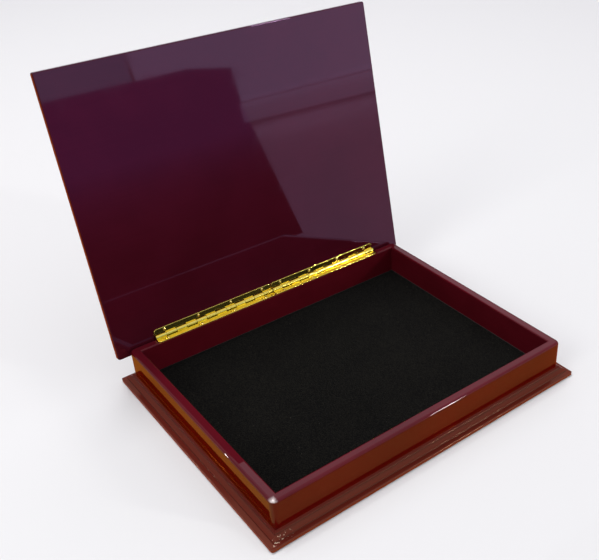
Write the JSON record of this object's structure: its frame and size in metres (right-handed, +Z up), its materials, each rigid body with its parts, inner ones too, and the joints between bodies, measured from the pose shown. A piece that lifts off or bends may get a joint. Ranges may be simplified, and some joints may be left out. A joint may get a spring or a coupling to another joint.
{
  "type": "display box",
  "caption": "Shallow lacquered wood display box with a stepped plinth, a felt-lined tray and a flat lid on brass strip hinges, shown open.",
  "frame": {"origin": "centre of the underside, on the surface the box stands on", "axes": "+X along the hinges, from the left end to the right end; -Y towards the front; +Z up. The lid stands open against its stop."},
  "size_m": [0.255, 0.2391, 0.2199],
  "materials": {
    "lacquered_wood": "dark mahogany-red gloss lacquer",
    "hinge_brass": "polished brass plate",
    "nail_brass": "polished, domed",
    "pin_steel": "drawn wire",
    "screw_steel": "bright zinc",
    "black_felt": "short-napped felt",
    "base_felt": "thin felt",
    "lining_card": "raw grey card"
  },
  "bodies": {
    "box": {"base_board": "lacquered_wood", "front_wall": "lacquered_wood", "back_wall": "lacquered_wood", "left_wall": "lacquered_wood", "right_wall": "lacquered_wood", "lining_board": "lining_card", "felt_lining": "black_felt", "base_felt": "base_felt", "base_screws": "screw_steel", "corner_pins": "pin_steel", "left_hinge_box_leaf": "hinge_brass", "left_hinge_pin": "pin_steel", "left_box_leaf_nails": "nail_brass", "right_hinge_box_leaf": "hinge_brass", "right_hinge_pin": "pin_steel", "right_box_leaf_nails": "nail_brass"},
    "lid": {"lid_panel": "lacquered_wood", "left_hinge_lid_leaf": "hinge_brass", "right_hinge_lid_leaf": "hinge_brass", "left_lid_leaf_nails": "nail_brass", "right_lid_leaf_nails": "nail_brass"}
  },
  "joints": [
    {"name": "lid_hinge", "type": "hinge", "parent": "box", "child": "lid", "pos_m": [0, 0.09367, 0.0298], "axis": [1, 0, 0], "range_deg": [0, 101.1]}
  ]
}
